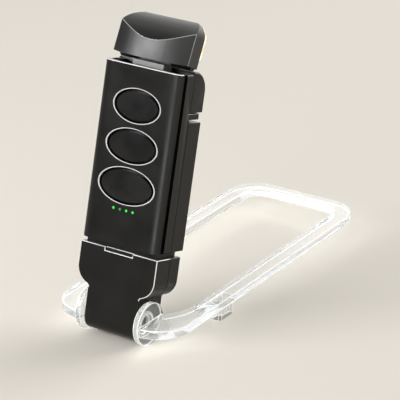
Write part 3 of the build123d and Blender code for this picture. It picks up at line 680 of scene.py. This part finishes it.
# %% [markdown]
# ## Button rims
#
# Each button lies in an oval well with a fine polished lip. A bevelled curve could draw it, but spinning a
# small circle gives a closed ring at once. The ring is then stretched sideways to the well's oval, which is
# sized from the cap that it surrounds, and sunk a little into the cover. The ring is painted pale, a painted
# highlight for the bright room that the polished lip mirrors.

# %% Rims
rim_outside_flange = 0.45 * mm   # the cap's hidden flange reaches almost to the rim
bead_radius = 0.17 * mm
bead_sink = bead_radius * 0.6
bead_segments = 10
ring_steps = 96


def rim(name, cap):
    """A polished ring round a cap, painted pale as a highlight."""
    low, high = upright_box(cap)
    half_x = (high.x - low.x) / 2 + rim_outside_flange
    half_z = (high.z - low.z) / 2 + rim_outside_flange
    mesh = bmesh.new()
    bmesh.ops.create_circle(mesh, segments=bead_segments, radius=bead_radius,
                            matrix=Matrix.Translation((half_z, 0, 0)))
    bmesh.ops.spin(mesh, geom=mesh.verts[:] + mesh.edges[:], cent=(0, 0, 0), axis=(0, 1, 0),
                   angle=math.tau, steps=ring_steps, use_merge=True)
    bmesh.ops.scale(mesh, vec=(half_x / half_z, 1, 1), verts=mesh.verts)
    centre = Vector(((low.x + high.x) / 2, cover_low.y + bead_sink, (low.z + high.z) / 2))
    bmesh.ops.transform(mesh, matrix=from_upright @ Matrix.Translation(centre), verts=mesh.verts)
    bmesh.ops.recalc_face_normals(mesh, faces=mesh.faces)
    print(name, "%.1f by %.1f mm" % (2 * half_x / mm, 2 * half_z / mm))
    return show(name, mesh, rim_painted_highlight, "lamp", angle=60)


for place in ("top", "middle", "bottom"):
    rim("rim_" + place, "button_" + place)

# %% [markdown]
# ## Screw recesses
#
# The base's two screws have cross recesses, punched into the head. A recess could be cut out of each head,
# but one of this size only shows as a dark mark. So each is a dark cross of two short bars, the recess's
# painted shade, set flush into the head's flat face.

# %% Screw crosses
screw_low, screw_high = upright_box("base_screws")
screw_radius = (screw_high.x - screw_low.x) / 2
bar_long = screw_radius * 1.1
bar_wide = screw_radius * 0.26
bar_deep = 0.2 * mm
bar_proud = 0.02 * mm


def screw_cross(name, height):
    """A dark cross of painted shade on the screw head at this height."""
    mesh = bmesh.new()
    for size in ((bar_long, bar_deep, bar_wide), (bar_wide, bar_deep, bar_long)):
        bmesh.ops.create_cube(mesh, size=1.0, matrix=Matrix.Diagonal(size).to_4x4())
    centre = Vector((0, screw_high.y - bar_deep / 2 + bar_proud, height))
    bmesh.ops.transform(mesh, matrix=from_upright @ Matrix.Translation(centre), verts=mesh.verts)
    return show(name, mesh, seam_shadow, "base")


screw_cross("screw_cross_upper", screw_high.z - screw_radius)
screw_cross("screw_cross_lower", screw_low.z + screw_radius)
print("screw head radius %.2f mm" % (screw_radius / mm))

# %% [markdown]
# ## Floor
#
# The light stands on a plain sheet of pale paper. A curved backdrop could follow the floor up, but a flat
# sheet that is wide enough fills most views and keeps the shadow simple.

# %% Floor
floor_half = 3.0
floor_mesh = bmesh.new()
bmesh.ops.create_grid(floor_mesh, x_segments=1, y_segments=1, size=floor_half)
floor_data = bpy.data.meshes.new("floor")
floor_mesh.to_mesh(floor_data)
floor_mesh.free()
floor = bpy.data.objects.new("floor", floor_data)
bpy.context.scene.collection.objects.link(floor)
floor_material, floor_output = new_material("paper_sweep_pale")
floor_shader = add(floor_material.node_tree, "ShaderNodeBsdfPrincipled", inputs={
    "Base Color": linear("#d5d0c7"), "Roughness": 0.8, "Specular IOR Level": 0.2})
shade(floor_material, floor_output, floor_shader.outputs["BSDF"])
floor_data.materials.append(floor_material)
print("floor %.0f m wide" % (2 * floor_half))

# %% [markdown]
# ## What the black plastic mirrors
#
# Black plastic shows little but its reflections, so the surround matters more than the lamps. A room with
# white walls could be built round the light, but a world that looks different to each kind of ray does the
# same. The eye, and what is seen through the clear loop, gets plain white. Reflections get a room that is
# bright on the right and behind, dimmer above and nearly dark at the front left, which tells the lamp's
# sides apart. All else gets an even, weaker light.

# %% World
world = bpy.data.worlds.new("studio")
bpy.context.scene.world = world
world.use_nodes = True
world.node_tree.nodes.clear()
sky = world.node_tree
bright_side = (0.7, 0.58, -0.42)   # the world is brightest this way, for reflections
dimmest_mirrored = 0.1
brightest_mirrored = 2.8
even_light = 0.5
path = add(sky, "ShaderNodeLightPath")
direction = add(sky, "ShaderNodeTexCoord").outputs["Generated"]
towards = add(sky, "ShaderNodeVectorMath", {"operation": "DOT_PRODUCT"}, {0: direction, 1: bright_side})
mirrored = add(sky, "ShaderNodeMapRange", {"interpolation_type": "SMOOTHSTEP"}, {
    "Value": towards.outputs["Value"], "From Min": -0.95, "From Max": 0.35,
    "To Min": dimmest_mirrored, "To Max": brightest_mirrored})
# Sockets 2 and 3 are the two numbers that a plain mix chooses from
room = add(sky, "ShaderNodeMix", {"data_type": "FLOAT"}, {
    "Factor": path.outputs["Is Glossy Ray"], 2: even_light, 3: mirrored.outputs["Result"]})
seen = add(sky, "ShaderNodeMath", {"operation": "MAXIMUM"}, {
    0: path.outputs["Is Camera Ray"], 1: path.outputs["Is Transmission Ray"]})
soft = add(sky, "ShaderNodeBackground", inputs={"Color": linear("#f6f5f2"), "Strength": room.outputs[0]})
plain = add(sky, "ShaderNodeBackground", inputs={"Color": linear("#ffffff"), "Strength": 1.0})
both = add(sky, "ShaderNodeMixShader", inputs={
    0: seen.outputs[0], 1: soft.outputs["Background"], 2: plain.outputs["Background"]})
add(sky, "ShaderNodeOutputWorld", inputs={"Surface": both.outputs["Shader"]})
print("world nodes", len(sky.nodes))

# %% [markdown]
# ## Lights
#
# Three soft boxes light the object. The large one stands behind and above, lights the floor and throws the
# shadow forward. One at the front left makes the soft shine in the middle of the head's face. A tall one low
# in front lights the cover and the caps. Hard lamps or a sun would leave sharp spots on the plastic, which
# soft boxes don't.

# %% Lights
middle = (cad_box[0] + cad_box[1]) / 2
head_middle = Vector((0, -0.03, 0.095))


def soft_box(name, place, aim, size, power):
    """A rectangular lamp. Place, aim and size are in metres and the power is in watts."""
    light = bpy.data.lights.new(name, "AREA")
    light.shape = "RECTANGLE"
    light.size, light.size_y = size
    light.energy = power
    lamp = bpy.data.objects.new(name, light)
    lamp.location = place
    lamp.rotation_euler = (Vector(aim) - Vector(place)).to_track_quat("-Z", "Y").to_euler()
    bpy.context.scene.collection.objects.link(lamp)
    print(name, "%.1f W" % power)


soft_box("light_above", place=(0.4, 0.95, 0.75), aim=middle, size=(0.9, 0.7), power=10.0)
soft_box("light_face", place=(-0.424, -0.606, 0.447), aim=head_middle, size=(0.55, 0.22), power=5.5)
soft_box("light_front", place=(0.02, -0.9, 0.08), aim=middle, size=(0.26, 0.5), power=3.2)

# %% [markdown]
# ## Camera
#
# The camera stands where the photograph was taken: about 0.8 m away, 35 degrees round to the right and 24
# degrees up, with a long lens. It could be moved by hand until the picture looks right. Its place and its
# angles were instead fitted to points of the object that the photograph shows.

# %% Camera
camera_place = Vector((432.25, -612.74, 367.61)) * mm
camera_azimuth = 35.43
camera_elevation = 24.29
camera_roll = -1.54
photo_focal_length = 2375.0   # in pixels of a photograph 400 pixels wide
photo_width = 400
camera_data = bpy.data.cameras.new("camera")
camera_data.sensor_width = 36.0
camera_data.lens = photo_focal_length * camera_data.sensor_width / photo_width
camera_data.dof.use_dof = False
camera_data.clip_start = 0.05
camera_data.clip_end = 20.0
camera = bpy.data.objects.new("camera", camera_data)
camera_turn = (Matrix.Rotation(math.radians(camera_azimuth), 4, "Z")
               @ Matrix.Rotation(math.radians(90 - camera_elevation), 4, "X")
               @ Matrix.Rotation(math.radians(camera_roll), 4, "Z"))
camera.matrix_world = Matrix.Translation(camera_place) @ camera_turn
bpy.context.scene.collection.objects.link(camera)
bpy.context.scene.camera = camera
bpy.context.scene.view_settings.view_transform = "Standard"
print("camera lens %.1f mm" % camera_data.lens)

# %% [markdown]
# ## Last update
#
# Dressing the solids must not change the object's size, which could be judged from the picture. The last
# line updates the view layer, so that every piece stands in its place.

# %% Last update
bpy.context.view_layer.update()
